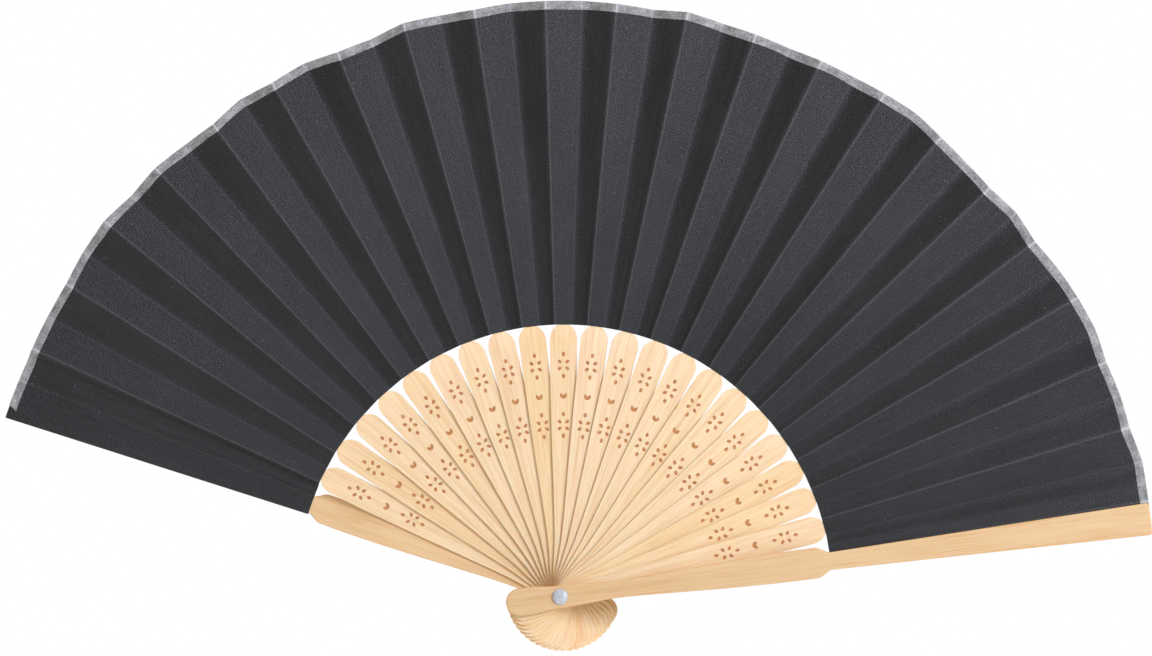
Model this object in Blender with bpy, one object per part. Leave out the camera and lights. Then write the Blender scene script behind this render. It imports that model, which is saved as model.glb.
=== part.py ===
"""Folding hand fan: 21 perforated inner sticks and two guards on one rivet, with a pleated cloth leaf.

The open fan stands upright in the XZ plane, seen from -Y. The rivet's axis is Y and runs through the
origin. A blade's angle is measured about the rivet from +X towards +Z. The blades lie in layers along Y:
the rear guard is at +Y, the front guard at -Y. Each blade is modelled pointing up +Z, with its own width
along X, and is then turned about Y. Lengths are in metres.
"""

import math

import bmesh
import bpy

MM = 0.001

# Overall sizes
GUARD_REACH = 208.5 * MM
BUTT_REACH = 19.2 * MM
INNER_STICKS = 21
REAR_GUARD_DEG = 160.2
FRONT_GUARD_DEG = 7.55
MIDDLE_STICK_DEG = 83.0
STICK_STEP_DEG = 6.93
STEP_GROWTH_DEG = 0.011

# Layers along the rivet
LAYER_STEP = 0.95 * MM
STICK_THICK = 0.70 * MM
RIB_THICK = 0.35 * MM
PLAY = 0.25 * MM
GUARD_THICK = 2.8 * MM
GUARD_RELIEF = 1.5 * MM
GUARD_SHOULDER_STEP = 0.15 * MM
STACK_HALF = (INNER_STICKS - 1) / 2 * LAYER_STEP + STICK_THICK / 2
GUARD_INNER = STACK_HALF + PLAY
GUARD_OUTER = GUARD_INNER + GUARD_THICK

# Outline of a blade: distance from the rivet, half width
BUTT_RADIUS = 4.8 * MM
BUTT_CENTRE = BUTT_RADIUS - BUTT_REACH
LOBE_AT = -10.6 * MM
LOBE_HALF = 4.8 * MM
EYE_HALF = 3.9 * MM
WAIST_AT = 21.0 * MM
WAIST_HALF = 3.0 * MM
WAIST_SOFTNESS = 0.12
SHOULDER_AT = 90.5 * MM
STICK_SHOULDER_HALF = 4.7 * MM
GUARD_SHOULDER_HALF = 5.4 * MM
NECK_AT = 96.0 * MM
GUARD_NECK_HALF = 3.1 * MM
RIB_HALF = 2.0 * MM
RIB_TIP_HALF = 1.7 * MM
RIB_REACH = 203.0 * MM
GUARD_TIP_HALF = 5.6 * MM
GUARD_TIP_ROUND = 1.2 * MM

# Rivet
HOLE_RADIUS = 1.55 * MM
SHANK_RADIUS = 1.2 * MM
HEAD_RADIUS = 3.0 * MM
HEAD_HEIGHT = 1.5 * MM
CAP_HEIGHT = 1.1 * MM

# Perforations, by distance from the rivet
UPPER_FLOWER_AT = 81.4 * MM
MOON_AT = 70.8 * MM
LOWER_FLOWER_AT = 60.3 * MM
LONG_PETAL_AT = 3.85 * MM
SIDE_PETAL_ACROSS = 1.35 * MM
SIDE_PETAL_ALONG = 1.2 * MM
PETAL_LONG = 0.65 * MM
PETAL_WIDE = 0.42 * MM
MOON_RADIUS = 1.2 * MM
MOON_BITE_RADIUS = 0.62 * MM

# Leaf
LEAF_INNER = 95.6 * MM
LEAF_OUTER = 209.0 * MM
FOLD_DEG = STICK_STEP_DEG / 4
FACET_TILT_DEG = 11.0
CLOTH_THICK = 0.24 * MM
CLOTH_OFF_RIB = 0.50 * MM
SEAM_DEG = 0.06
LEFT_HEM_DEG = 162.4
TWIST_START = 92.0 * MM
TWIST_END = 99.0 * MM

FACET_SLOPE = math.tan(math.radians(FACET_TILT_DEG))
GUARD_CLOTH_DEPTH = GUARD_INNER + GUARD_RELIEF - PLAY - CLOTH_THICK / 2


def clear_scene():
    for item in list(bpy.data.objects):
        bpy.data.objects.remove(item, do_unlink=True)


def material(name, colour, roughness, metallic=0.0):
    """A Principled material with one plain colour."""
    made = bpy.data.materials.new(name)
    made.use_nodes = True
    shader = made.node_tree.nodes["Principled BSDF"]
    shader.inputs["Base Color"].default_value = (*colour, 1.0)
    shader.inputs["Roughness"].default_value = roughness
    shader.inputs["Metallic"].default_value = metallic
    made.diffuse_color = (*colour, 1.0)
    return made


def add_object(name, mesh, finish, location=(0, 0, 0), turn=0.0):
    """An object on the rivet's axis, turned about it so that its blade points at the wanted angle."""
    mesh.materials.clear()
    mesh.materials.append(finish)
    made = bpy.data.objects.new(name, mesh)
    made.location = location
    made.rotation_euler = (0, turn, 0)
    bpy.context.scene.collection.objects.link(made)
    return made


def ease(value, start, end):
    """Smooth step from 0 at start to 1 at end."""
    t = min(max((value - start) / (end - start), 0.0), 1.0)
    return t * t * (3 - 2 * t)


def stick_angle(number):
    """Angle of a blade in degrees: 0 is the rear guard and INNER_STICKS + 1 the front guard."""
    if number == 0:
        return REAR_GUARD_DEG
    if number == INNER_STICKS + 1:
        return FRONT_GUARD_DEG
    place = number - (INNER_STICKS + 1) / 2
    return MIDDLE_STICK_DEG - STICK_STEP_DEG * place + STEP_GROWTH_DEG * place**2


def stick_depth(number):
    """Y of an inner stick's middle plane."""
    return ((INNER_STICKS + 1) / 2 - number) * LAYER_STEP


def turn_of(number):
    return math.radians(90.0 - stick_angle(number))


def eased_half(reach, points):
    """Half width at a distance from the rivet, on a curve through points, level at each of them."""
    for (start, low), (end, high) in zip(points, points[1:]):
        if reach <= end:
            return low + (high - low) * ease(reach, start, end)
    return points[-1][1]


def butt_rungs():
    """The round lower end, from its tip up to its widest point."""
    steps = (74, 50, 25)
    return [
        (BUTT_CENTRE - BUTT_RADIUS * math.sin(math.radians(a)), BUTT_RADIUS * math.cos(math.radians(a)))
        for a in steps
    ]


def body_half(reach, shoulder_half):
    """Half width between the waist and the shoulder: soft at the waist, then fuller and fuller."""
    t = (reach - WAIST_AT) / (SHOULDER_AT - WAIST_AT)
    soft = t * t / (t + WAIST_SOFTNESS) * (1 + WAIST_SOFTNESS)
    return WAIST_HALF + (shoulder_half - WAIST_HALF) * math.sin(math.pi / 2 * soft)


def lower_rungs(shoulder_half):
    """The rungs from the butt's lobe up to the shoulder."""
    below = ((BUTT_CENTRE, BUTT_RADIUS), (LOBE_AT, LOBE_HALF), (0.0, EYE_HALF), (WAIST_AT, WAIST_HALF))
    reaches = (BUTT_CENTRE, LOBE_AT, LOBE_AT / 2, 0.0, WAIST_AT / 3, WAIST_AT * 2 / 3, WAIST_AT)
    rungs = [(reach, eased_half(reach, below)) for reach in reaches]
    for share in (0.17, 0.34, 0.54, 0.77, 1.0):
        reach = WAIST_AT + share * (SHOULDER_AT - WAIST_AT)
        rungs.append((reach, body_half(reach, shoulder_half)))
    return rungs


def stick_rungs():
    """An inner stick: above its shoulder a round top runs into the rib."""
    rungs = butt_rungs() + lower_rungs(STICK_SHOULDER_HALF)
    for a in (25, 45, 62):
        reach = SHOULDER_AT + (NECK_AT - SHOULDER_AT) * math.sin(math.radians(a))
        rungs.append((reach, STICK_SHOULDER_HALF * math.cos(math.radians(a))))
    rungs += [(NECK_AT, RIB_HALF), (TWIST_END, RIB_HALF), (RIB_REACH, RIB_TIP_HALF)]
    return rungs


def guard_rungs():
    """A guard: above its shoulder it eases in to a neck, and then flares to a nearly square tip."""
    rungs = butt_rungs() + lower_rungs(GUARD_SHOULDER_HALF)
    shoulder = ((SHOULDER_AT, GUARD_SHOULDER_HALF), (NECK_AT, GUARD_NECK_HALF))
    for share in (0.3, 0.5, 0.7, 1.0):
        reach = SHOULDER_AT + share * (NECK_AT - SHOULDER_AT)
        rungs.append((reach, eased_half(reach, shoulder)))
    for a in (0, 45, 75):
        pull = GUARD_TIP_ROUND * (1 - math.cos(math.radians(a)))
        reach = GUARD_REACH - GUARD_TIP_ROUND * (1 - math.sin(math.radians(a)))
        rungs.append((reach, GUARD_TIP_HALF - pull))
    rungs.append((GUARD_REACH, GUARD_TIP_HALF - GUARD_TIP_ROUND))
    return rungs


def stick_faces(reach, across):
    """Front and back Y of an inner stick, whose rib is thinner and tilted with the leaf's facet."""
    share = ease(reach, TWIST_START, TWIST_END)
    half = (STICK_THICK + (RIB_THICK - STICK_THICK) * share) / 2
    middle = FACET_SLOPE * across * share
    return middle - half, middle + half


def guard_faces(reach, across):
    """Outer and inner Y of the front guard, whose inner side is cut back where the folded leaf lies."""
    outer = -GUARD_OUTER + GUARD_SHOULDER_STEP * ease(reach, SHOULDER_AT, NECK_AT)
    inner = -GUARD_INNER - GUARD_RELIEF * ease(reach, SHOULDER_AT, TWIST_START)
    return outer, inner


def ladder(name, rungs, faces):
    """A closed blade through its rungs, each a rectangle of four corners."""
    shape = bmesh.new()
    rings = []
    for reach, half in rungs:
        corners = []
        for across, side in ((-half, 0), (half, 0), (half, 1), (-half, 1)):
            corners.append(shape.verts.new((across, faces(reach, across)[side], reach)))
        rings.append(corners)
    for low, high in zip(rings, rings[1:]):
        for i in range(4):
            j = (i + 1) % 4
            shape.faces.new((low[i], low[j], high[j], high[i]))
    shape.faces.new(rings[0][::-1])
    shape.faces.new(rings[-1])
    bmesh.ops.recalc_face_normals(shape, faces=shape.faces)
    mesh = bpy.data.meshes.new(name)
    shape.to_mesh(mesh)
    shape.free()
    return mesh


def add_prism(shape, outline, depth):
    """A closed prism along Y, from -depth to +depth, on an outline of (x, z) points."""
    front = [shape.verts.new((x, -depth, z)) for x, z in outline]
    back = [shape.verts.new((x, depth, z)) for x, z in outline]
    shape.faces.new(front)
    shape.faces.new(back[::-1])
    for i in range(len(outline)):
        j = (i + 1) % len(outline)
        shape.faces.new((front[j], front[i], back[i], back[j]))


def circle(radius, sides, centre=(0.0, 0.0)):
    points = []
    for i in range(sides):
        a = 2 * math.pi * i / sides
        points.append((centre[0] + radius * math.cos(a), centre[1] + radius * math.sin(a)))
    return points


def petal(across, along, flower_at):
    """An oval hole that points at its flower's middle."""
    direction = math.atan2(along, across)
    points = []
    for x, z in circle(1.0, 6):
        u = x * PETAL_LONG
        v = z * PETAL_WIDE
        points.append((
            across + u * math.cos(direction) - v * math.sin(direction),
            flower_at + along + u * math.sin(direction) + v * math.cos(direction),
        ))
    return points


def flower(flower_at):
    places = [(0, LONG_PETAL_AT), (0, -LONG_PETAL_AT)]
    places += [(x * SIDE_PETAL_ACROSS, z * SIDE_PETAL_ALONG) for x in (-1, 1) for z in (-1, 1)]
    return [petal(across, along, flower_at) for across, along in places]


def moon():
    """A crescent that opens away from the rivet."""
    points = []
    for a in (145, 190, 235, 305, 350, 395):
        points.append((MOON_RADIUS * math.cos(math.radians(a)), MOON_RADIUS * math.sin(math.radians(a))))
    bite = MOON_RADIUS * math.sin(math.radians(35))
    for a in (-40, -90, -140):
        x = MOON_BITE_RADIUS * math.cos(math.radians(a))
        points.append((x, bite + MOON_BITE_RADIUS * math.sin(math.radians(a))))
    return [(x, MOON_AT + z) for x, z in points]


def cutter(name, outlines):
    """A hidden cutter: prisms through all the layers."""
    shape = bmesh.new()
    for outline in outlines:
        add_prism(shape, outline, 2 * GUARD_OUTER)
    bmesh.ops.recalc_face_normals(shape, faces=shape.faces)
    mesh = bpy.data.meshes.new(name)
    shape.to_mesh(mesh)
    shape.free()
    made = bpy.data.objects.new(name, mesh)
    made.hide_render = True
    made.display_type = "WIRE"
    bpy.context.scene.collection.objects.link(made)
    return made


def cut(mesh, tool):
    """The mesh with the cutter's prisms taken out."""
    holder = bpy.data.objects.new("holder", mesh)
    bpy.context.scene.collection.objects.link(holder)
    hole = holder.modifiers.new("holes", "BOOLEAN")
    hole.operation = "DIFFERENCE"
    hole.object = tool
    bpy.context.view_layer.update()
    graph = bpy.context.evaluated_depsgraph_get()
    result = bpy.data.meshes.new_from_object(holder.evaluated_get(graph))
    result.name = mesh.name
    bpy.data.objects.remove(holder, do_unlink=True)
    return result


def build_blades(wood):
    eye = cutter("eye_cutter", [circle(HOLE_RADIUS, 10)])
    holes = cutter(
        "perforation_cutter",
        [circle(HOLE_RADIUS, 10)] + flower(UPPER_FLOWER_AT) + [moon()] + flower(LOWER_FLOWER_AT),
    )
    stick = cut(ladder("stick", stick_rungs(), stick_faces), holes)
    for number in range(1, INNER_STICKS + 1):
        name = f"stick_{number:02d}"
        add_object(name, stick, wood, (0, stick_depth(number), 0), turn_of(number))
    front = cut(ladder("front_guard", guard_rungs(), guard_faces), eye)
    add_object("front_guard", front, wood, turn=turn_of(INNER_STICKS + 1))

    def rear_faces(reach, across):
        outer, inner = guard_faces(reach, across)
        return -inner, -outer

    rear = cut(ladder("rear_guard", guard_rungs(), rear_faces), eye)
    add_object("rear_guard", rear, wood, turn=turn_of(0))


def turned(name, profile, sides):
    """A closed turned piece about Y from (radius, y) points; the first and last lie on the axis."""
    shape = bmesh.new()
    rings = []
    for radius, y in profile[1:-1]:
        ring = []
        for i in range(sides):
            a = 2 * math.pi * i / sides
            ring.append(shape.verts.new((radius * math.cos(a), y, radius * math.sin(a))))
        rings.append(ring)
    ends = [shape.verts.new((0, y, 0)) for _, y in (profile[0], profile[-1])]
    for i in range(sides):
        j = (i + 1) % sides
        shape.faces.new((ends[0], rings[0][i], rings[0][j]))
        shape.faces.new((ends[1], rings[-1][j], rings[-1][i]))
        for low, high in zip(rings, rings[1:]):
            shape.faces.new((low[i], high[i], high[j], low[j]))
    bmesh.ops.recalc_face_normals(shape, faces=shape.faces)
    mesh = bpy.data.meshes.new(name)
    shape.to_mesh(mesh)
    shape.free()
    mesh.shade_smooth()
    mesh.set_sharp_from_angle(angle=math.radians(35))
    return mesh


def dome(base_y, height, towards):
    """(radius, y) points of a low dome from its rim to its crown; towards is -1 or 1 along Y."""
    points = [(HEAD_RADIUS, base_y), (HEAD_RADIUS, base_y + towards * 0.25 * height)]
    for a in (30, 55, 75):
        rise = 0.25 + 0.75 * math.sin(math.radians(a))
        points.append((HEAD_RADIUS * math.cos(math.radians(a)), base_y + towards * rise * height))
    return points


def build_rivet(pearl, metal):
    """The headed pin, and the cap that closes its far end."""
    head_base = -(GUARD_OUTER + PLAY)
    cap_base = GUARD_OUTER + PLAY
    cap_top = cap_base + CAP_HEIGHT
    pin_profile = [(0, head_base - HEAD_HEIGHT)] + dome(head_base, HEAD_HEIGHT, -1)[::-1]
    pin_profile += [(SHANK_RADIUS, head_base), (SHANK_RADIUS, cap_top - 0.5 * MM), (0, cap_top - 0.5 * MM)]
    add_object("rivet_pin", turned("rivet_pin", pin_profile, 16), pearl)
    cap_profile = [(0, cap_top)] + dome(cap_base, CAP_HEIGHT, 1)[::-1] + [(0, cap_base)]
    socket = cutter("cap_cutter", [circle(SHANK_RADIUS + PLAY, 10)])
    cap = cut(turned("rivet_cap", cap_profile, 16), socket)
    add_object("rivet_cap", cap, metal)


def leaf_line(number, offset_deg):
    """A radial line of the leaf: its angle and its cloth's middle depth at a distance from the rivet."""
    angle = math.radians(stick_angle(number) - offset_deg)
    slope = FACET_SLOPE * math.sin(math.radians(offset_deg))

    def depth(reach):
        if number == 0:
            return GUARD_CLOTH_DEPTH
        if number == INNER_STICKS + 1:
            return -GUARD_CLOTH_DEPTH
        return stick_depth(number) - CLOTH_OFF_RIB + slope * reach

    return angle, depth


def line_points(line):
    """Inner and outer point of a leaf line."""
    angle, depth = line
    return [
        (reach * math.cos(angle), depth(reach), reach * math.sin(angle))
        for reach in (LEAF_INNER, LEAF_OUTER)
    ]


def pleat_mesh(number):
    """The cloth from one blade's middle line to the next: half a facet, a whole facet, half a facet.

    A whole facet is twisted, so its front and back are split along the same diagonal.
    """
    left = number - 1
    left_end = SEAM_DEG if left else REAR_GUARD_DEG - LEFT_HEM_DEG
    lines = [
        line_points(leaf_line(left, left_end)),
        line_points(leaf_line(left, FOLD_DEG)),
        line_points(leaf_line(number, -FOLD_DEG)),
        line_points(leaf_line(number, -SEAM_DEG)),
    ]
    shape = bmesh.new()
    rings = []
    for inner, outer in lines:
        corners = []
        for point, side in ((inner, -1), (outer, -1), (outer, 1), (inner, 1)):
            corners.append(shape.verts.new((point[0], point[1] + side * CLOTH_THICK / 2, point[2])))
        rings.append(corners)
    for low, high in zip(rings, rings[1:]):
        shape.faces.new((low[0], low[1], high[1]))
        shape.faces.new((low[0], high[1], high[0]))
        shape.faces.new((low[3], high[2], low[2]))
        shape.faces.new((low[3], high[3], high[2]))
        shape.faces.new((low[1], low[2], high[2], high[1]))
        shape.faces.new((low[3], low[0], high[0], high[3]))
    shape.faces.new(rings[0][::-1])
    shape.faces.new(rings[-1])
    bmesh.ops.recalc_face_normals(shape, faces=shape.faces)
    mesh = bpy.data.meshes.new(f"leaf_pleat_{number:02d}")
    shape.to_mesh(mesh)
    shape.free()
    return mesh


def build_leaf(cloth):
    for number in range(1, INNER_STICKS + 2):
        mesh = pleat_mesh(number)
        add_object(mesh.name, mesh, cloth)


def main():
    clear_scene()
    wood = material("pale_wood", (0.83, 0.62, 0.38), 0.55)
    pearl = material("rivet_pearl", (0.62, 0.68, 0.76), 0.25)
    metal = material("rivet_metal", (0.70, 0.70, 0.68), 0.35, metallic=1.0)
    cloth = material("black_cloth", (0.022, 0.022, 0.024), 0.6)
    build_blades(wood)
    build_rivet(pearl, metal)
    build_leaf(cloth)


main()
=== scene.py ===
import math
import random

import bmesh
import bpy
from mathutils import Matrix, Vector, noise
from mathutils.geometry import tessellate_polygon


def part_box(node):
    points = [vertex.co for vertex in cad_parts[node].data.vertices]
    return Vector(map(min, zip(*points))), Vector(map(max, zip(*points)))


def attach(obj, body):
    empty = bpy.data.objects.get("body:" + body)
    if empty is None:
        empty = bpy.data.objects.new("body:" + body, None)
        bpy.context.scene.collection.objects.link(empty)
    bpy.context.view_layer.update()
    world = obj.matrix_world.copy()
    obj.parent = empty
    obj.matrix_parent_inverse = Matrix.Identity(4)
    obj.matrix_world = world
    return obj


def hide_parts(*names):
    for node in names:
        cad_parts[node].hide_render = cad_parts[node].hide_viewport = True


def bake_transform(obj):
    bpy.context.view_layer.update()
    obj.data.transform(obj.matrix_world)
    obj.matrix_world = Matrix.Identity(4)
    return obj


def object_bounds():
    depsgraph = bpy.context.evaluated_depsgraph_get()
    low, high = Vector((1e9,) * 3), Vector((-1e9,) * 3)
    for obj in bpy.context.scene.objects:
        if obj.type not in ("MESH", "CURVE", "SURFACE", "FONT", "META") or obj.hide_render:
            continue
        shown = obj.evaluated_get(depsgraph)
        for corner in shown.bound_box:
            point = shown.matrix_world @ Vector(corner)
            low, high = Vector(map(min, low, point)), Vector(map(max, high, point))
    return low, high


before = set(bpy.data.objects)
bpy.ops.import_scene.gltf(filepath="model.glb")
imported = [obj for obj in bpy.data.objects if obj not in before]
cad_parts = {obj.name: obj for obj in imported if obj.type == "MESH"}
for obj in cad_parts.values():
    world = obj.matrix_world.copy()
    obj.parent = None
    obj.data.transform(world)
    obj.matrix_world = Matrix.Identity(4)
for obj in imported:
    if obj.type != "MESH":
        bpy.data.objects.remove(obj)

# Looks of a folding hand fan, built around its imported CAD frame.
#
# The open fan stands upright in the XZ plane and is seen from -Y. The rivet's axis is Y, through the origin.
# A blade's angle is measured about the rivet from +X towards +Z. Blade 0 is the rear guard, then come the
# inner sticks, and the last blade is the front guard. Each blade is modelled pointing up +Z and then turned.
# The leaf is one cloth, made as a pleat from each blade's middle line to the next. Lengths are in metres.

CAD_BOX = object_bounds()
MM = 0.001

# Outline of a blade: distance from the rivet, half width
BUTT_REACH = 19.2 * MM
BUTT_RADIUS = 4.8 * MM
BUTT_CENTRE = BUTT_RADIUS - BUTT_REACH
STICK_NOSE = 0.42
LOBE_AT = -10.6 * MM
EYE_HALF = 3.9 * MM
WAIST_AT = 21.0 * MM
WAIST_HALF = 3.0 * MM
WAIST_SOFTNESS = 0.12
SHOULDER_AT = 90.5 * MM
STICK_SHOULDER_HALF = 4.7 * MM
GUARD_SHOULDER_HALF = 5.4 * MM
NECK_AT = 96.0 * MM
GUARD_NECK_HALF = 3.1 * MM
RIB_HALF = 1.9 * MM
RIB_TIP_HALF = 1.7 * MM
RIB_REACH = 203.0 * MM
RIB_TIP_ROUND = 0.7 * MM
GUARD_REACH = 208.5 * MM
GUARD_TIP_HALF = 5.6 * MM
GUARD_TIP_ROUND = 1.2 * MM

# Thickness of a blade
STICK_HALF = 0.35 * MM
STICK_FILL = 0.20 * MM
FILL_END = 80.0 * MM
RIB_BACK = 0.18 * MM
RIB_FRONT = 0.36 * MM
TWIST_START = 86.0 * MM
TWIST_END = 97.0 * MM
GUARD_THICK = 2.8 * MM
GUARD_FILL = 0.18 * MM
GUARD_RELIEF = 1.75 * MM
GUARD_SHOULDER_STEP = 0.15 * MM
RELIEF_START = 64.0 * MM
RELIEF_END = 95.0 * MM
STICK_BEVEL = 0.10 * MM
GUARD_BEVEL = 0.45 * MM

# Rivet
HOLE_RADIUS = 1.55 * MM
HOLE_SIDES = 24
SHANK_RADIUS = 1.2 * MM
HEAD_RADIUS = 2.75 * MM
HEAD_HEIGHT = 1.3 * MM
CAP_HEIGHT = 1.1 * MM
HEAD_GAP = 0.05 * MM
SHANK_IN_CAP = 0.3 * MM

# Perforations, made as recesses whose floors are painted shade, by distance from the rivet
UPPER_FLOWER_AT = 81.4 * MM
MOON_AT = 70.8 * MM
LOWER_FLOWER_AT = 60.3 * MM
LONG_PETAL_AT = 3.85 * MM
SIDE_PETAL_ACROSS = 1.35 * MM
SIDE_PETAL_ALONG = 1.2 * MM
PETAL_LONG = 0.78 * MM
PETAL_WIDE = 0.54 * MM
MOON_RADIUS = 1.2 * MM
MOON_BITE_RADIUS = 0.62 * MM
RECESS_DEPTH = 0.26 * MM
RECESS_BEVEL = 0.05 * MM

# Leaf
LEAF_INNER = 95.6 * MM
LEAF_OUTER = 209.0 * MM
FOLD = math.radians(6.93 / 4)
FACET_SLOPE = math.tan(math.radians(11.0))
CLOTH_THICK = 0.10 * MM
CLOTH_OFF_RIB = 0.50 * MM
CLOTH_OFF_GUARD = 0.16 * MM
LEFT_HEM = math.radians(162.4)
BEHIND_RIB = 0.84
RIB_PASSED = 0.33
LEAVES_GUARD = 0.15
RADIAL_STEPS = 46
CREASE_REACH = math.radians(0.10)
HALF_FACET_LINES = 8
FACET_LINES = 15
STREAK = 0.025 * MM
WAVE = 0.07 * MM
PUCKER = 0.09 * MM

# Edge binding
BINDING_WIDTH = 2.75 * MM
BINDING_SWING = 0.45 * MM
BINDING_THICK = 0.07 * MM
BINDING_END = math.radians(161.1)
BINDING_POINT = math.radians(0.35)
BINDING_OVER = 0.2 * MM
BINDING_GAP = 0.02 * MM

# Camera, light and floor
CAMERA_TARGET = Vector((0.0046, 0.0, 0.0944))
CAMERA_DISTANCE = 4.0
CAMERA_YAW = math.radians(4.2)
CAMERA_PITCH = math.radians(-0.85)
CAMERA_LENS = 355.5
SENSOR_WIDTH = 36.0
VIEW_END = 100.0
FLOOR_BELOW = 0.6
FLOOR_RADIUS = 41.0
FLOOR_SIDES = 96
WORLD_LIGHT = 0.37
WARM_FILL = (1.0, 0.91, 0.78)
COOL_KEY = (0.97, 1.0, 1.10)

# Lights: name, direction from the fan, distance, size, power, colour
LIGHTS = [
    ("key", (0.62, -0.73, 0.30), 1.7, 0.6, 22.0, COOL_KEY),
    ("back_fill", (-0.55, 0.75, 0.45), 2.0, 1.2, 9.0, (1, 1, 1)),
]
SKY_STRENGTH = 1.3
SKY_SPREAD = 60

# Tones that the wood's colour is multiplied by
REAR_GUARD_TONE = (0.90, 0.82, 0.74)
FRONT_GUARD_TONE = (0.83, 0.76, 0.69)

# The frame's blades
STICKS = sum(name.startswith("stick_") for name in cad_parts)
NODES = ["rear_guard"] + [f"stick_{n:02d}" for n in range(1, STICKS + 1)] + ["front_guard"]
LAST = len(NODES) - 1
draw = random.Random(11)


# ---------------------------------------------------------------- what the frame says

def blade_angle(node):
    """A blade's angle about the rivet, from the middle of its far end."""
    points = [v.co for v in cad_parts[node].data.vertices]
    reach = max(math.hypot(p.x, p.z) for p in points)
    tip = [p for p in points if math.hypot(p.x, p.z) > 0.97 * reach]
    return math.atan2(sum(p.z for p in tip), sum(p.x for p in tip))


def blade_depth(node):
    low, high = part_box(node)
    return (low.y + high.y) / 2


ANGLES = [blade_angle(node) for node in NODES]
DEPTHS = [blade_depth(node) for node in NODES]
CREASES = [LEFT_HEM]
for blade_turn in ANGLES[1:-1]:
    CREASES += [blade_turn + FOLD, blade_turn - FOLD]
CREASES.append(ANGLES[LAST])
GUARD_OUTER = -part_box("front_guard")[0].y
GUARD_INNER = GUARD_OUTER - GUARD_THICK
GUARD_CLOTH_DEPTH = GUARD_INNER + GUARD_RELIEF - CLOTH_OFF_GUARD


# ---------------------------------------------------------------- small helpers

def ease(value, start, end):
    """Smooth step from 0 at start to 1 at end."""
    t = min(max((value - start) / (end - start), 0.0), 1.0)
    return t * t * (3 - 2 * t)


def spread(low, high, count):
    """Evenly spaced values from low to high, both included."""
    return [low + (high - low) * i / (count - 1) for i in range(count)]


def about_rivet(angle):
    """The turn that brings a blade from +Z to its angle."""
    return Matrix.Rotation(math.pi / 2 - angle, 4, "Y")


def add_piece(name, mesh, finish, body=None, turn=None):
    """A new object with the mesh and material, riding on a body if one is named."""
    if not mesh.materials:
        mesh.materials.append(finish)
    made = bpy.data.objects.new(name, mesh)
    bpy.context.scene.collection.objects.link(made)
    if turn is not None:
        made.matrix_world = turn
    if body:
        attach(made, body)
    return made


# ---------------------------------------------------------------- materials

def node(tree, kind, settings=None, feeds=None):
    """A shader node. feeds gives inputs by name or index: a socket is linked, anything else is a value."""
    made = tree.nodes.new(kind)
    for key, value in (settings or {}).items():
        setattr(made, key, value)
    for key, value in (feeds or {}).items():
        if isinstance(value, bpy.types.NodeSocket):
            tree.links.new(value, made.inputs[key])
        else:
            made.inputs[key].default_value = value
    return made


def new_material(name):
    made = bpy.data.materials.new(name)
    made.use_nodes = True
    tree = made.node_tree
    return made, tree, tree.nodes["Principled BSDF"]


def maths(tree, operation, a, b=0.0, c=0.0):
    return node(tree, "ShaderNodeMath", {"operation": operation}, {0: a, 1: b, 2: c}).outputs[0]


def blend_colour(tree, share, a, b, how="MIX"):
    made = node(tree, "ShaderNodeMix", {"data_type": "RGBA", "blend_type": how}, {0: share, 6: a, 7: b})
    return made.outputs[2]


def scaled(tree, vector, scale):
    return node(tree, "ShaderNodeMapping", None, {"Vector": vector, "Scale": scale}).outputs[0]


def noise_of(tree, vector, scale, detail=2.0, roughness=0.5):
    feeds = {"Vector": scaled(tree, vector, scale), "Scale": 1.0, "Detail": detail, "Roughness": roughness}
    return node(tree, "ShaderNodeTexNoise", None, feeds).outputs["Fac"]


def ramp(tree, value, stops):
    """A colour ramp through (place, colour) stops."""
    made = node(tree, "ShaderNodeValToRGB", None, {"Fac": value})
    elements = made.color_ramp.elements
    while len(elements) < len(stops):
        elements.new(0.5)
    for element, (place, colour) in zip(elements, stops):
        element.position = place
        element.color = (*colour, 1.0)
    return made.outputs["Color"]


def attribute(tree, name):
    return node(tree, "ShaderNodeAttribute", {"attribute_name": name}).outputs["Fac"]


def bump(tree, height, strength, distance):
    feeds = {"Height": height, "Strength": strength, "Distance": distance}
    return node(tree, "ShaderNodeBump", None, feeds).outputs["Normal"]


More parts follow.
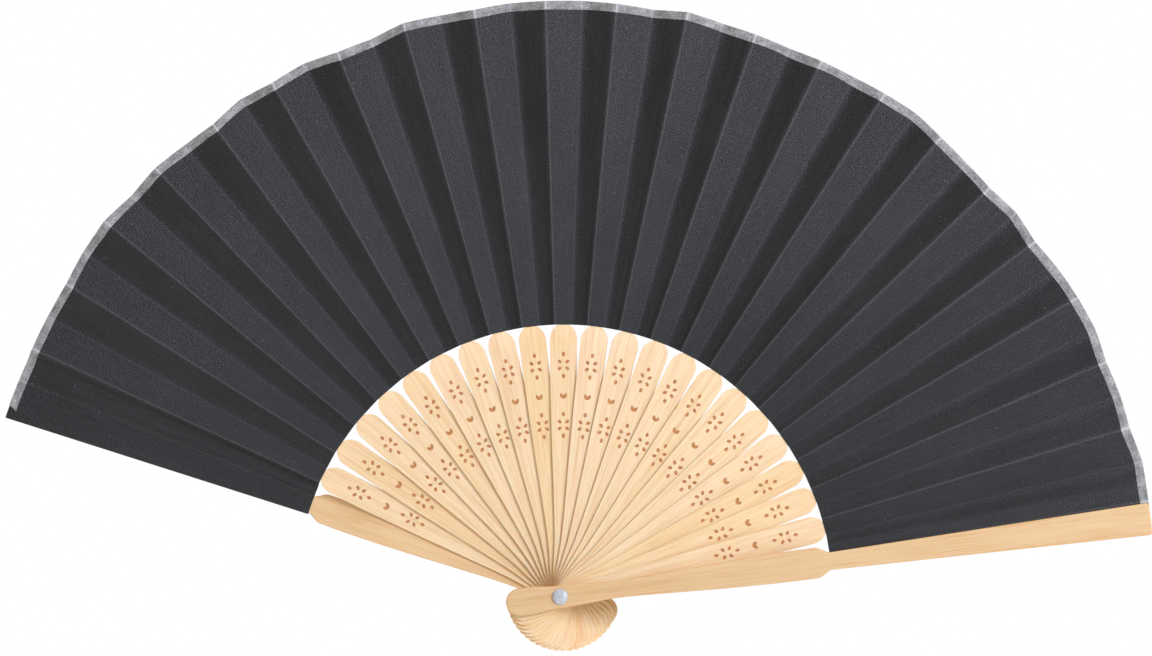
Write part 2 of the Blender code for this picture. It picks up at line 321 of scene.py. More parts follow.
def wood_material():
    """Pale close-grained wood: fibres along the blade, a tone of its own for each blade, scorched cuts with
    painted shade on the recess floors, and painted warm shade on the blade edges.
    """
    made, tree, shader = new_material("pale_wood")
    place = node(tree, "ShaderNodeTexCoord").outputs["Object"]
    tint = node(tree, "ShaderNodeObjectInfo").outputs["Color"]
    shifted = node(tree, "ShaderNodeVectorMath", {"operation": "ADD"}, {0: place, 1: tint}).outputs[0]
    fibres = noise_of(tree, shifted, (2300, 700, 45), 3.0, 0.65)
    bands = noise_of(tree, shifted, (520, 160, 6), 2.0)
    clouds = noise_of(tree, shifted, (90, 90, 28), 2.0)
    mixed = maths(tree, "MULTIPLY_ADD", fibres, 0.60, maths(tree, "MULTIPLY", bands, 0.24))
    mixed = maths(tree, "MULTIPLY_ADD", clouds, 0.16, mixed)
    colour = ramp(tree, mixed, [
        (0.34, (0.720, 0.490, 0.270)),
        (0.46, (0.810, 0.605, 0.375)),
        (0.56, (0.850, 0.675, 0.450)),
        (0.70, (0.870, 0.720, 0.510)),
    ])
    colour = blend_colour(tree, 1.0, colour, tint, "MULTIPLY")
    # Painted shade: the side walls and bevels, where rim is 1, turn orange-brown for the warm shadow and bounced
    # light between stacked blades.
    rim = maths(tree, "MULTIPLY", attribute(tree, "rim"), 0.80)
    colour = blend_colour(tree, rim, colour, (0.70, 0.36, 0.115, 1))
    # The recess edges are scorched; their floors are painted shade, dark brown where a through hole would show
    # shadow.
    speckle = noise_of(tree, shifted, (3000, 3000, 3000), 2.0)
    scorch_and_shade_colour = ramp(tree, speckle, [(0.35, (0.40, 0.16, 0.055)), (0.65, (0.68, 0.35, 0.16))])
    colour = blend_colour(tree, attribute(tree, "burn"), colour, scorch_and_shade_colour)
    tree.links.new(colour, shader.inputs["Base Color"])
    tree.links.new(maths(tree, "MULTIPLY_ADD", fibres, 0.22, 0.36), shader.inputs["Roughness"])
    tree.links.new(bump(tree, fibres, 0.35, 0.00005), shader.inputs["Normal"])
    shader.inputs["Specular IOR Level"].default_value = 0.20
    shader.inputs["Subsurface Weight"].default_value = 0.45
    shader.inputs["Subsurface Radius"].default_value = (1.0, 0.45, 0.2)
    shader.inputs["Subsurface Scale"].default_value = 0.8 * MM
    return made


def cloth_material():
    """Black satin: a fine weave and streaks along the pleats, whose lighter grains are partly painted sheen; a
    painted highlight along each pressed crease; a few light grey specks.
    """
    made, tree, shader = new_material("black_cloth")
    place = node(tree, "ShaderNodeUVMap", {"uv_map": "cloth"}).outputs["UV"]
    grit = noise_of(tree, place, (2100, 1700, 1), 2.0, 0.75)
    streaks = noise_of(tree, place, (900, 60, 1), 3.0, 0.6)
    clouds = noise_of(tree, place, (70, 22, 1), 2.0)
    # The grain and streaks set the colour: weave mottling, with the lighter grains and streaks partly painted
    # sheen for the satin's glints.
    mixed = maths(tree, "MULTIPLY_ADD", grit, 0.64, maths(tree, "MULTIPLY", streaks, 0.20))
    mixed = maths(tree, "MULTIPLY_ADD", clouds, 0.16, mixed)
    colour = ramp(tree, mixed, [
        (0.38, (0.0050, 0.0050, 0.0056)),
        (0.50, (0.0110, 0.0112, 0.0128)),
        (0.62, (0.0250, 0.0258, 0.0295)),
    ])
    # Painted highlight along the creases, broken into dots by the grain.
    crease_highlight = maths(tree, "MULTIPLY", attribute(tree, "crease"), maths(tree, "MULTIPLY", grit, 0.9))
    colour = blend_colour(tree, crease_highlight, colour, (0.10, 0.10, 0.105, 1))
    # A few scattered light grey specks.
    specks = noise_of(tree, place, (1500, 1500, 1), 0.0)
    light_specks = maths(tree, "GREATER_THAN", specks, 0.855)
    colour = blend_colour(tree, maths(tree, "MULTIPLY", light_specks, 0.5), colour, (0.22, 0.22, 0.23, 1))
    tree.links.new(colour, shader.inputs["Base Color"])
    tree.links.new(maths(tree, "MULTIPLY_ADD", grit, -0.52, 0.68), shader.inputs["Roughness"])
    tree.links.new(bump(tree, grit, 1.0, 0.00030), shader.inputs["Normal"])
    shader.inputs["Specular IOR Level"].default_value = 0.42
    shader.inputs["Specular Tint"].default_value = (0.90, 0.94, 1.0, 1)
    shader.inputs["Sheen Weight"].default_value = 0.06
    shader.inputs["Sheen Roughness"].default_value = 0.4
    return made


def binding_material():
    """Dull silver ribbon, mottled, with a painted highlight where it is pressed over a crease."""
    made, tree, shader = new_material("silver_ribbon")
    place = node(tree, "ShaderNodeUVMap", {"uv_map": "cloth"}).outputs["UV"]
    grit = noise_of(tree, place, (1700, 1700, 1), 3.0, 0.7)
    patches = noise_of(tree, place, (330, 330, 1), 2.0)
    mixed = maths(tree, "MULTIPLY_ADD", grit, 0.60, maths(tree, "MULTIPLY", patches, 0.40))
    colour = ramp(tree, mixed, [
        (0.34, (0.098, 0.101, 0.107)),
        (0.50, (0.240, 0.247, 0.260)),
        (0.66, (0.440, 0.450, 0.470)),
    ])
    # Painted highlight where the ribbon turns over a crease.
    crease_highlight = maths(tree, "MULTIPLY", attribute(tree, "crease"), 0.55)
    colour = blend_colour(tree, crease_highlight, colour, (0.72, 0.73, 0.76, 1))
    tree.links.new(colour, shader.inputs["Base Color"])
    tree.links.new(maths(tree, "MULTIPLY_ADD", grit, 0.25, 0.35), shader.inputs["Roughness"])
    tree.links.new(bump(tree, grit, 0.4, 0.00005), shader.inputs["Normal"])
    shader.inputs["Specular IOR Level"].default_value = 0.5
    return made


def pearl_material():
    """Frosted pearl: milky blue-white, clouded, under a clear coat."""
    made, tree, shader = new_material("rivet_pearl")
    place = node(tree, "ShaderNodeTexCoord").outputs["Object"]
    clouds = noise_of(tree, place, (520, 520, 520), 3.0, 0.6)
    colour = ramp(tree, clouds, [
        (0.36, (0.40, 0.43, 0.48)),
        (0.50, (0.46, 0.49, 0.54)),
        (0.64, (0.54, 0.56, 0.60)),
    ])
    tree.links.new(colour, shader.inputs["Base Color"])
    tree.links.new(maths(tree, "MULTIPLY_ADD", clouds, 0.3, 0.28), shader.inputs["Roughness"])
    tree.links.new(bump(tree, clouds, 0.25, 0.0002), shader.inputs["Normal"])
    shader.inputs["Coat Weight"].default_value = 0.3
    shader.inputs["Coat Roughness"].default_value = 0.25
    return made


def metal_material():
    """Satin rivet metal, turned, with fine rings and light scratches."""
    made, tree, shader = new_material("rivet_metal")
    place = node(tree, "ShaderNodeTexCoord").outputs["Object"]
    scratches = noise_of(tree, place, (2500, 300, 1200), 3.0, 0.6)
    colour = ramp(tree, scratches, [(0.35, (0.52, 0.52, 0.51)), (0.65, (0.74, 0.74, 0.72))])
    tree.links.new(colour, shader.inputs["Base Color"])
    tree.links.new(maths(tree, "MULTIPLY_ADD", scratches, 0.25, 0.24), shader.inputs["Roughness"])
    tree.links.new(bump(tree, scratches, 0.2, 0.00005), shader.inputs["Normal"])
    shader.inputs["Metallic"].default_value = 1.0
    return made


def floor_material():
    made, _, shader = new_material("pale_floor")
    shader.inputs["Base Color"].default_value = (0.90, 0.90, 0.89, 1)
    shader.inputs["Roughness"].default_value = 0.8
    return made


# ---------------------------------------------------------------- blades

def lower_half(reach):
    """Half width from the butt's widest point to the waist."""
    points = ((BUTT_CENTRE, BUTT_RADIUS), (LOBE_AT, BUTT_RADIUS), (0.0, EYE_HALF), (WAIST_AT, WAIST_HALF))
    for (start, low), (end, high) in zip(points, points[1:]):
        if reach <= end:
            return low + (high - low) * ease(reach, start, end)
    return WAIST_HALF


def body_half(reach, shoulder_half):
    """Half width between the waist and the shoulder: soft at the waist, then fuller and fuller."""
    t = (reach - WAIST_AT) / (SHOULDER_AT - WAIST_AT)
    soft = t * t / (t + WAIST_SOFTNESS) * (1 + WAIST_SOFTNESS)
    return WAIST_HALF + (shoulder_half - WAIST_HALF) * math.sin(math.pi / 2 * soft)


def lower_side(shoulder_half, nose=1.0):
    """(half width, reach) points up a blade's side. A nose under 1 makes the butt's end more pointed."""
    side = []
    for a in spread(math.radians(6), math.radians(82), 11):
        half = BUTT_RADIUS * math.sin(a) * (nose + (1 - nose) * math.sin(a))
        side.append((half, BUTT_CENTRE - BUTT_RADIUS * math.cos(a)))
    side += [(lower_half(reach), reach) for reach in spread(BUTT_CENTRE, WAIST_AT, 22)]
    side += [(body_half(reach, shoulder_half), reach) for reach in spread(WAIST_AT, SHOULDER_AT, 30)[1:]]
    return side


def corner(half, reach, radius):
    """A rounded outer corner of a blade's far end."""
    points = []
    for a in spread(0, math.radians(84), 5):
        points.append((half - radius * (1 - math.cos(a)), reach - radius * (1 - math.sin(a))))
    return points


def stick_loop():
    side = lower_side(STICK_SHOULDER_HALF, STICK_NOSE)
    for a in spread(0, math.acos(RIB_HALF / STICK_SHOULDER_HALF), 12)[1:]:
        side.append((STICK_SHOULDER_HALF * math.cos(a), SHOULDER_AT + (NECK_AT - SHOULDER_AT) * math.sin(a)))
    side += [(RIB_HALF, reach) for reach in spread(NECK_AT, TWIST_END, 7)]
    rib_end = RIB_REACH - RIB_TIP_ROUND
    for reach in spread(TWIST_END, rib_end, 18)[1:-1]:
        share = (reach - TWIST_END) / (rib_end - TWIST_END)
        side.append((RIB_HALF + (RIB_TIP_HALF - RIB_HALF) * share, reach))
    side += corner(RIB_TIP_HALF, RIB_REACH, RIB_TIP_ROUND)
    return side + [(-x, z) for x, z in side[::-1]]


def guard_loop():
    side = lower_side(GUARD_SHOULDER_HALF)
    for reach in spread(SHOULDER_AT, NECK_AT, 9)[1:]:
        share = ease(reach, SHOULDER_AT, NECK_AT)
        side.append((GUARD_SHOULDER_HALF + (GUARD_NECK_HALF - GUARD_SHOULDER_HALF) * share, reach))
    guard_end = GUARD_REACH - GUARD_TIP_ROUND
    for reach in spread(NECK_AT, guard_end, 24)[1:-1]:
        share = (reach - NECK_AT) / (guard_end - NECK_AT)
        side.append((GUARD_NECK_HALF + (GUARD_TIP_HALF - GUARD_NECK_HALF) * share, reach))
    side += corner(GUARD_TIP_HALF, GUARD_REACH, GUARD_TIP_ROUND)
    return side + [(-x, z) for x, z in side[::-1]]


def stick_faces(x, z):
    """Front and back Y of an inner stick. Its rib is thinner, reaches the cloth, and tilts with its facet."""
    share = ease(z, TWIST_START, TWIST_END)
    middle = FACET_SLOPE * x * share
    front = STICK_HALF + (RIB_FRONT - STICK_HALF) * share
    back = STICK_HALF + (RIB_BACK - STICK_HALF) * share
    back += STICK_FILL * (1 - ease(z, FILL_END, TWIST_START))
    return middle - front, middle + back


def front_guard_faces(_, z):
    """Outer and inner Y of the front guard, cut back inside where the folded leaf lies."""
    outer = -GUARD_OUTER + GUARD_SHOULDER_STEP * ease(z, SHOULDER_AT, NECK_AT)
    inner = -GUARD_INNER - GUARD_RELIEF * ease(z, RELIEF_START, RELIEF_END)
    return outer, inner + GUARD_FILL * (1 - ease(z, RELIEF_START, RELIEF_END))


def rear_guard_faces(x, z):
    outer, _ = front_guard_faces(x, z)
    inner = -GUARD_INNER - GUARD_RELIEF * ease(z, RELIEF_START, RELIEF_END)
    return -inner, -outer


def ring_of(radius, count, centre=(0.0, 0.0)):
    points = []
    for a in spread(0, 2 * math.pi, count + 1)[:-1]:
        points.append((centre[0] + radius * math.cos(a), centre[1] + radius * math.sin(a)))
    return points


def petal(across, along, flower_at):
    """An oval that points at its flower's middle."""
    direction = math.atan2(along, across)
    points = []
    for x, z in ring_of(1.0, 14):
        u = x * PETAL_LONG
        v = z * PETAL_WIDE
        points.append((
            across + u * math.cos(direction) - v * math.sin(direction),
            flower_at + along + u * math.sin(direction) + v * math.cos(direction),
        ))
    return points


def flower(flower_at):
    places = [(0, LONG_PETAL_AT), (0, -LONG_PETAL_AT)]
    places += [(x * SIDE_PETAL_ACROSS, z * SIDE_PETAL_ALONG) for x in (-1, 1) for z in (-1, 1)]
    return [petal(across, along, flower_at) for across, along in places]


def moon():
    """A crescent that opens away from the rivet."""
    points = []
    for a in spread(math.radians(145), math.radians(395), 18):
        points.append((MOON_RADIUS * math.cos(a), MOON_AT + MOON_RADIUS * math.sin(a)))
    bite = MOON_AT + MOON_RADIUS * math.sin(math.radians(35))
    for a in spread(math.radians(-15), math.radians(-165), 9):
        points.append((MOON_BITE_RADIUS * math.cos(a), bite + MOON_BITE_RADIUS * math.sin(a)))
    return points


def moved_out(loop, distance):
    """A counter-clockwise loop with each point moved outwards, square to its neighbours."""
    moved = []
    for i, (x, z) in enumerate(loop):
        before = loop[i - 1]
        after = loop[(i + 1) % len(loop)]
        dx = after[0] - before[0]
        dz = after[1] - before[1]
        length = math.hypot(dx, dz)
        moved.append((x + distance * dz / length, z - distance * dx / length))
    return moved


class Slab:
    """A flat blade in the making: rings of points at a depth under its front or its back."""

    def __init__(self, faces):
        self.shape = bmesh.new()
        # The first layer weights the painted edge shade; the second weights the scorch and the painted shade in
        # the recesses.
        self.rim = self.shape.verts.layers.float.new("rim")
        self.burn = self.shape.verts.layers.float.new("burn")
        self.faces = faces
        self.caps = {0: [], 1: []}

    def ring(self, loop, side, depth, rim=0.0, burn=0.0):
        made = []
        for x, z in loop:
            y = self.faces(x, z)[side] + (depth if side == 0 else -depth)
            vertex = self.shape.verts.new((x, y, z))
            vertex[self.rim] = rim
            vertex[self.burn] = burn
            made.append(vertex)
        return made

    def bridge(self, rings):
        for low, high in zip(rings, rings[1:]):
            for i in range(len(low)):
                j = (i + 1) % len(low)
                self.shape.faces.new((low[i], low[j], high[j], high[i]))

    def rounded(self, loop, side, bevel, outwards, burn=0.0):
        """Rings round one edge, from the face down to the wall. The first is part of the face's outline."""
        rings = []
        for turn in (0, 30, 60, 90):
            a = math.radians(turn)
            shift = bevel * (1 - math.sin(a)) * outwards
            # share grows from the face to the wall, and sets how much painted edge shade each ring gets.
            share = turn / 90
            depth = bevel * (1 - math.cos(a))
            rings.append(self.ring(moved_out(loop, shift), side, depth, share, share * burn))
        self.caps[side].append(rings[0])
        return rings

    def outline(self, loop, bevel):
        self.bridge(self.rounded(loop, 0, bevel, -1) + self.rounded(loop, 1, bevel, -1)[::-1])

    def bore(self, loop, bevel):
        self.bridge(self.rounded(loop, 0, bevel, 1) + self.rounded(loop, 1, bevel, 1)[::-1])

    def recess(self, loop, bevel, depth):
        """A recess in the front and one in the back, its edge scorched and its floor painted shade, dark as the
        shadow seen through a hole.
        """
        for side in (0, 1):
            rings = self.rounded(loop, side, bevel, 1, burn=0.6)
            # The floor gets the full painted shade, standing for the shadow seen through a hole.
            rings.append(self.ring(loop, side, depth, burn=1.0))
            self.bridge(rings)
            self.shape.faces.new(rings[-1])

    def finish(self, name):
        for rings in self.caps.values():
            flat = [vertex for ring in rings for vertex in ring]
            outlines = [[Vector((v.co.x, v.co.z, 0)) for v in ring] for ring in rings]
            for triangle in tessellate_polygon(outlines):
                self.shape.faces.new([flat[i] for i in triangle])
        bmesh.ops.recalc_face_normals(self.shape, faces=self.shape.faces)
        mesh = bpy.data.meshes.new(name)
        self.shape.to_mesh(mesh)
        self.shape.free()
        mesh.shade_smooth()
        mesh.set_sharp_from_angle(angle=math.radians(42))
        return mesh


def stick_mesh():
    slab = Slab(stick_faces)
    slab.outline(stick_loop(), STICK_BEVEL)
    slab.bore(ring_of(HOLE_RADIUS, HOLE_SIDES), STICK_BEVEL)
    for loop in flower(UPPER_FLOWER_AT) + [moon()] + flower(LOWER_FLOWER_AT):
        slab.recess(loop, RECESS_BEVEL, RECESS_DEPTH)
    return slab.finish("stick")


def guard_mesh(name, faces):
    slab = Slab(faces)
    slab.outline(guard_loop(), GUARD_BEVEL)
    slab.bore(ring_of(HOLE_RADIUS, HOLE_SIDES), STICK_BEVEL)
    return slab.finish(name)


def add_blade(name, mesh, finish, node_name, turn, tone):
    made = add_piece(name, mesh, finish, node_name, turn)
    made.color = (*tone, 1.0)
    flat = made.modifiers.new("flat_faces", "WEIGHTED_NORMAL")
    flat.keep_sharp = True
    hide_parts(node_name)
    return made


def build_blades(wood):
    """All the blades, each of its own tone: the sticks pale, the guards tan."""
    mesh = stick_mesh()
    blades = []
    for number in range(1, STICKS + 1):
        tan = draw.random() ** 2
        tone = (0.98 - 0.02 * tan, 1.0 - 0.06 * tan, 1.05 - 0.05 * draw.random() - 0.12 * tan)
        turn = Matrix.Translation((0, DEPTHS[number], 0)) @ about_rivet(ANGLES[number])
        blades.append(add_blade(f"blade_{number:02d}", mesh, wood, NODES[number], turn, tone))
    rear = guard_mesh("rear_guard_wood", rear_guard_faces)
    front = guard_mesh("front_guard_wood", front_guard_faces)
    rear = add_blade("rear_guard_wood", rear, wood, "rear_guard", about_rivet(ANGLES[0]), REAR_GUARD_TONE)
    front = add_blade("front_guard_wood", front, wood, "front_guard", about_rivet(ANGLES[LAST]), FRONT_GUARD_TONE)
    return [rear] + blades + [front]


# ---------------------------------------------------------------- rivet

def turned(name, profile, sides=64):
    """A closed turned piece about Y from (radius, y) points; the first and last lie on the axis."""
    shape = bmesh.new()
    rings = []
    for radius, y in profile[1:-1]:
        rings.append([shape.verts.new((x, y, z)) for x, z in ring_of(radius, sides)])
    ends = [shape.verts.new((0, y, 0)) for _, y in (profile[0], profile[-1])]
    for i in range(sides):
        j = (i + 1) % sides
        shape.faces.new((ends[0], rings[0][i], rings[0][j]))
        shape.faces.new((ends[1], rings[-1][j], rings[-1][i]))
        for low, high in zip(rings, rings[1:]):
            shape.faces.new((low[i], high[i], high[j], low[j]))
    bmesh.ops.recalc_face_normals(shape, faces=shape.faces)
    mesh = bpy.data.meshes.new(name)
    shape.to_mesh(mesh)
    shape.free()
    mesh.shade_smooth()
    mesh.set_sharp_from_angle(angle=math.radians(35))
    return mesh


def dome(base, height, towards):
    """(radius, y) points from a rounded rim to the crown; towards is -1 or 1 along Y."""
    points = [(HEAD_RADIUS - 0.12 * MM, base), (HEAD_RADIUS, base + towards * 0.12 * height)]
    for a in spread(math.radians(8), math.radians(84), 10):
        rise = 0.2 + 0.8 * math.sin(a)
        points.append((HEAD_RADIUS * math.cos(a) ** 0.9, base + towards * rise * height))
    return points


def build_rivet(pearl, metal):
    head_base = -(GUARD_OUTER + HEAD_GAP)
    cap_base = GUARD_OUTER + HEAD_GAP
    cap_top = cap_base + CAP_HEIGHT
    profile = [(0, head_base - HEAD_HEIGHT)] + dome(head_base, HEAD_HEIGHT, -1)[::-1]
    profile += [(SHANK_RADIUS, head_base), (SHANK_RADIUS, cap_base + SHANK_IN_CAP), (0, cap_base + SHANK_IN_CAP)]
    pin = add_piece("rivet_head", turned("rivet_head", profile), pearl, "front_guard")
    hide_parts("rivet_pin")
    dimple = [(0, cap_top - 0.35 * MM), (0.7 * MM, cap_top - 0.3 * MM), (1.0 * MM, cap_top)]
    profile = dimple + dome(cap_base, CAP_HEIGHT, 1)[::-1][2:] + [(0, cap_base)]
    cap = add_piece("rivet_back_cap", turned("rivet_back_cap", profile), metal, "front_guard")
    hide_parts("rivet_cap")


# ---------------------------------------------------------------- leaf

def cloth_middle(blade):
    """Depth of the cloth on a blade's middle line."""
    if blade == 0:
        return GUARD_CLOTH_DEPTH
    if blade == LAST:
        return -GUARD_CLOTH_DEPTH
    return DEPTHS[blade] - CLOTH_OFF_RIB


def facet_tilt(blade, turn, reach):
    """How far a rib's tilted facet stands off its middle line; a guard's facet is flat."""
    if blade in (0, LAST):
        return 0.0
    return FACET_SLOPE * reach * math.sin(turn)


def cloth_depth(right, angle, reach):
    """Depth of the cloth between blade right and the one on its left, at an angle and distance.

    Folded up, the free facet between two ribs lies behind the right blade's rib and in front of the left
    one's cloth. Its slope follows the angle at which each line of it then lies.
    """
    left = right - 1
    mountain = ANGLES[right] + FOLD
    valley = ANGLES[left] - FOLD
    if angle <= mountain:
        return cloth_middle(right) + facet_tilt(right, ANGLES[right] - angle, reach)
    if angle >= valley:
        return cloth_middle(left) + facet_tilt(left, ANGLES[left] - angle, reach)
    t = (angle - mountain) / (valley - mountain)
    share = BEHIND_RIB * ease(t, 0, RIB_PASSED) + (1 - BEHIND_RIB) * ease(t, 1 - RIB_PASSED, 1)
    if right == LAST:
        share = ease(t, LEAVES_GUARD, 1)
    middle = cloth_middle(right) * (1 - share) + cloth_middle(left) * share
    side = right if t < 0.5 else left
    swing = 1 + 2 * t - 4 * ease(t, 0, 1)
    edge = -FOLD if t < 0.5 else FOLD
    return middle + facet_tilt(side, edge, reach) * abs(swing)


def ripple(right, angle, reach):
    """Unevenness of the cloth where no rib holds it: soft streaks and waves, puckers next to the binding."""
    from_rib = min(angle - ANGLES[right], ANGLES[right - 1] - angle) * reach
    loose = ease(from_rib, RIB_HALF, RIB_HALF + 2.4 * MM)
    streak = noise.noise(Vector((angle * 60, reach * 12, 3.0))) * STREAK
    wave = noise.noise(Vector((angle * 16, reach * 26, 5.0))) * WAVE
    near_edge = ease(reach, LEAF_OUTER - 26 * MM, LEAF_OUTER - 2 * MM)
    pucker = noise.noise(Vector((angle * 42, reach * 80, 7.0))) * PUCKER
    return loose * (streak + wave + near_edge * pucker)


def outer_corner(angle):
    """How far the leaf's outer edge stands out at a crease."""
    return noise.noise(Vector((angle * 17.3, 1.5, 0.0))) * 1.9 * MM - 0.35 * MM


def outer_reach(angle):
    """Distance of the leaf's outer edge, which runs nearly straight from crease to crease."""
    for left, right in zip(CREASES, CREASES[1:]):
        if angle >= right:
            share = min((left - angle) / (left - right), 1.0)
            return LEAF_OUTER + outer_corner(left) * (1 - share) + outer_corner(right) * share
    return LEAF_OUTER


def pleat_lines(right):
    """(angle, painted crease highlight) of each radial line of a pleat, from the right blade to the left one."""
    start = ANGLES[right]
    end = ANGLES[right - 1] if right > 1 else LEFT_HEM
    mountain = start + FOLD
    valley = ANGLES[right - 1] - FOLD
    lines = [(a, 0.0) for a in spread(start, mountain - 2 * CREASE_REACH, HALF_FACET_LINES)]
    # Painted highlight strength: full on each mountain fold, which faces the viewer, less on each valley fold,
    # half beside each.
    for fold, crease_highlight in ((mountain, 1.0), (valley, 0.35)):
        lines += [(fold - CREASE_REACH / 2, crease_highlight * 0.5), (fold, crease_highlight), (fold + CREASE_REACH / 2, crease_highlight * 0.5)]
        if crease_highlight == 1.0:
            lines += [(a, 0.0) for a in spread(fold + 2 * CREASE_REACH, valley - 2 * CREASE_REACH, FACET_LINES)]
    lines += [(a, 0.0) for a in spread(valley + 2 * CREASE_REACH, end, HALF_FACET_LINES)]
    return lines


def polar(angle, reach, depth):
    return Vector((reach * math.cos(angle), depth, reach * math.sin(angle)))


def strip_mesh(name, lines, sections):
    """A closed strip: a loop of (point, place on the cloth) for each line, joined line to line and capped."""
    shape = bmesh.new()
    crease = shape.verts.layers.float.new("crease")
    uv = shape.loops.layers.uv.new("cloth")
    rings = []
    places = {}
    for (_, crease_highlight), section in zip(lines, sections):
        ring = []
        for point, place in section:
            vertex = shape.verts.new(point)
            # The crease layer holds the line's painted highlight strength.
            vertex[crease] = crease_highlight
            places[vertex] = place
            ring.append(vertex)
        rings.append(ring)
    for low, high in zip(rings, rings[1:]):
        for i in range(len(low)):
            j = (i + 1) % len(low)
            shape.faces.new((low[i], low[j], high[j], high[i]))
    shape.faces.new(rings[0][::-1])
    shape.faces.new(rings[-1])
    bmesh.ops.recalc_face_normals(shape, faces=shape.faces)
    for face in shape.faces:
        for corner_loop in face.loops:
            corner_loop[uv].uv = places[corner_loop.vert]
    mesh = bpy.data.meshes.new(name)
    shape.to_mesh(mesh)
    shape.free()
    mesh.shade_smooth()
    mesh.set_sharp_from_angle(angle=math.radians(50))
    return mesh


def cloth_place(angle, reach):
    """Where a point lies on the flat cloth, in metres."""
    return (angle * (LEAF_INNER + LEAF_OUTER) / 2, reach)


def cloth_section(right, angle):
    """The cloth's section along one radial line: out along the front, back along the rear."""
    front = []
    rear = []
    for reach in spread(LEAF_INNER, outer_reach(angle), RADIAL_STEPS):
        middle = cloth_depth(right, angle, reach) + ripple(right, angle, reach)
        place = cloth_place(angle, reach)
        front.append((polar(angle, reach, middle - CLOTH_THICK / 2), place))
        rear.append((polar(angle, reach, middle + CLOTH_THICK / 2), place))
    return front + rear[::-1]


def binding_width(angle):
    return BINDING_WIDTH + noise.noise(Vector((angle * 16, 5.2, 0.0))) * BINDING_SWING


def binding_section(right, angle):
    """The ribbon's section: up its front, over the cloth's edge, down its back, and back inside it."""
    edge = outer_reach(angle)
    width = binding_width(angle)
    gap = CLOTH_THICK / 2 + BINDING_GAP
    skin = gap + BINDING_THICK
    outside = [(-width, skin * 0.8), (-width * 0.5, skin), (-0.1 * MM, skin), (BINDING_OVER * 0.8, skin * 0.6)]
    inside = [(-width, gap), (-width * 0.5, gap), (-0.1 * MM, gap)]
    path = [(shift, -y) for shift, y in outside] + [(BINDING_OVER, 0.0)] + outside[::-1]
    path += inside + [(BINDING_OVER * 0.4, 0.0)] + [(shift, -y) for shift, y in inside[::-1]]
    section = []
    for shift, off in path:
        reach = edge + shift
        turn = angle
        if right == 1 and angle > BINDING_END - 1e-6:
            turn += BINDING_POINT * (-shift / width if shift < 0 else 0.0)
        middle = cloth_depth(right, turn, reach) + ripple(right, turn, reach)
        section.append((polar(turn, reach, middle + off), cloth_place(turn, reach)))
    return section


def fold_between(piece, right, lines):
    """Lay the strip's points out unrolled, each at its place from crease to crease.

    The object's transform is baked in while they lie so. Then they go back to their folded shape.
    """
    vertices = piece.data.vertices
    folded = [v.co.copy() for v in vertices]
    ring = len(vertices) // len(lines)
    mountain = ANGLES[right] + FOLD
    valley = ANGLES[right - 1] - FOLD
    for i, vertex in enumerate(vertices):
        vertex.co = ((lines[i // ring][0] - mountain) / (valley - mountain), 0, 0)
    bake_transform(piece)
    for vertex, place in zip(vertices, folded):
        vertex.co = place


def flat_size(right):
    """(width, length) and area of a pleat as it was cut, before folding."""
    lines = pleat_lines(right)
    widths = []
    for reach in (LEAF_INNER, LEAF_OUTER):
        points = [polar(a, reach, cloth_depth(right, a, reach)) for a, _ in lines]
        widths.append(sum((b - a).length for a, b in zip(points, points[1:])))
    length = LEAF_OUTER - LEAF_INNER
    return (max(widths), length), sum(widths) / 2 * length


def build_leaf(cloth, ribbon, blades):
    for right in range(1, LAST + 1):
        lines = pleat_lines(right)
        mesh = strip_mesh(f"leaf_cloth_{right:02d}", lines, [cloth_section(right, a) for a, _ in lines])
        leaf = add_piece(mesh.name, mesh, cloth)
        bound = [line for line in lines if line[0] <= BINDING_END]
        if right == 1:
            bound.append((BINDING_END, 0.0))
        sections = [binding_section(right, a) for a, _ in bound]
        mesh = strip_mesh(f"edge_binding_{right:02d}", bound, sections)
        binding = add_piece(mesh.name, mesh, ribbon)
        fold_between(leaf, right, lines)
        fold_between(binding, right, bound)
        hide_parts(f"leaf_pleat_{right:02d}")
        flat, area = flat_size(right)


# ---------------------------------------------------------------- stage

def build_camera():
    data = bpy.data.cameras.new("camera")
    data.lens = CAMERA_LENS
    data.sensor_width = SENSOR_WIDTH
    data.clip_end = VIEW_END
    camera = bpy.data.objects.new("camera", data)
    bpy.context.scene.collection.objects.link(camera)
    forward = Vector((
        -math.sin(CAMERA_YAW) * math.cos(CAMERA_PITCH),
        math.cos(CAMERA_YAW) * math.cos(CAMERA_PITCH),
        -math.sin(CAMERA_PITCH),
    ))
    camera.location = CAMERA_TARGET - forward * CAMERA_DISTANCE
    camera.rotation_euler = forward.to_track_quat("-Z", "Y").to_euler()
    bpy.context.scene.camera = camera


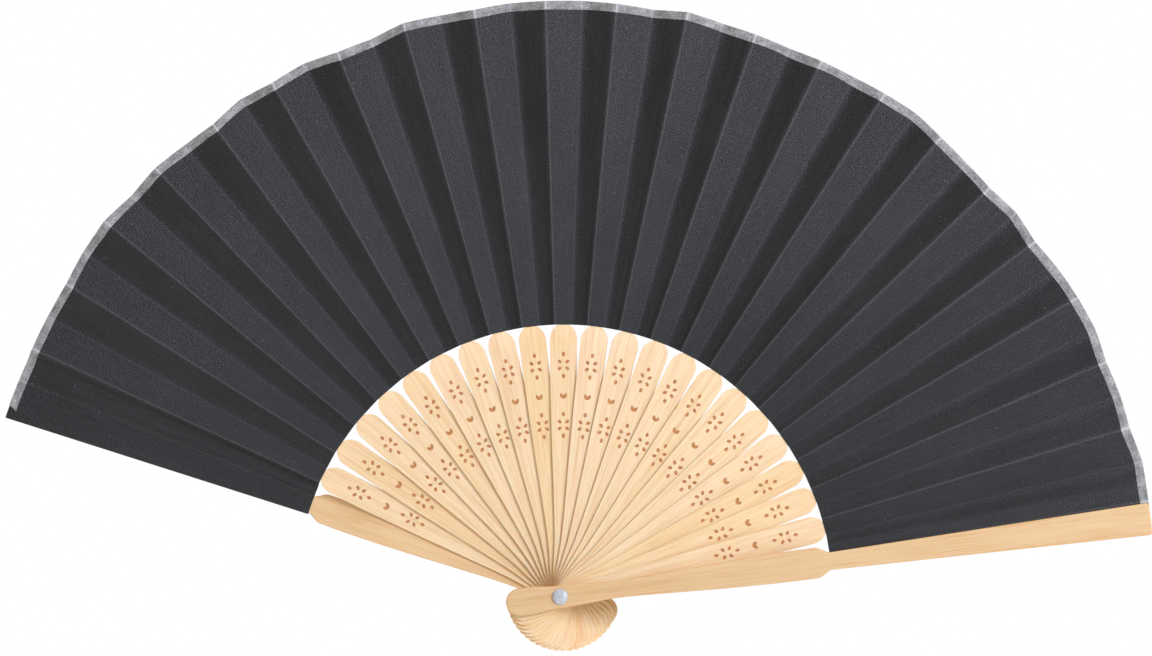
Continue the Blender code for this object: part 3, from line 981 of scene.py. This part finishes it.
def add_light(name, towards, distance, size, power, colour):
    """A soft square light in a direction from the fan's middle, aimed at it."""
    data = bpy.data.lights.new(name, "AREA")
    data.size = size
    data.energy = power
    data.color = colour
    light = bpy.data.objects.new(name, data)
    bpy.context.scene.collection.objects.link(light)
    direction = Vector(towards).normalized()
    light.location = CAMERA_TARGET + direction * distance
    light.rotation_euler = (-direction).to_track_quat("-Z", "Y").to_euler()
    light.visible_camera = False


def add_sky(strength, spread_degrees):
    """Broad light straight from above, which keeps the floor pale."""
    data = bpy.data.lights.new("sky", "SUN")
    data.energy = strength
    data.angle = math.radians(spread_degrees)
    bpy.context.scene.collection.objects.link(bpy.data.objects.new("sky", data))


def build_world():
    """Even warm white light all round, and a pure white backdrop where the camera looks past the floor."""
    world = bpy.data.worlds.new("studio")
    bpy.context.scene.world = world
    world.use_nodes = True
    tree = world.node_tree
    lighting = tree.nodes["Background"]
    lighting.inputs["Color"].default_value = (*WARM_FILL, 1)
    lighting.inputs["Strength"].default_value = WORLD_LIGHT
    backdrop = node(tree, "ShaderNodeBackground", None, {"Color": (1, 1, 1, 1), "Strength": 1.0})
    seen = node(tree, "ShaderNodeLightPath").outputs["Is Camera Ray"]
    either = node(tree, "ShaderNodeMixShader", None, {0: seen, 1: lighting.outputs[0], 2: backdrop.outputs[0]})
    tree.links.new(either.outputs[0], tree.nodes["World Output"].inputs["Surface"])


def build_floor(finish):
    """A pale floor well below the fan, which is held up in the hand."""
    mesh = bpy.data.meshes.new("floor")
    height = CAD_BOX[0].z - FLOOR_BELOW
    corners = [(x, y, height) for x, y in ring_of(FLOOR_RADIUS, FLOOR_SIDES)]
    mesh.from_pydata(corners, [], [list(range(len(corners)))])
    add_piece("floor", mesh, finish)


def build_stage():
    build_camera()
    build_world()
    build_floor(floor_material())
    for light in LIGHTS:
        add_light(*light)
    add_sky(SKY_STRENGTH, SKY_SPREAD)
    bpy.context.scene.view_settings.view_transform = "Standard"


build_stage()
build_leaf(cloth_material(), binding_material(), build_blades(wood_material()))
build_rivet(pearl_material(), metal_material())
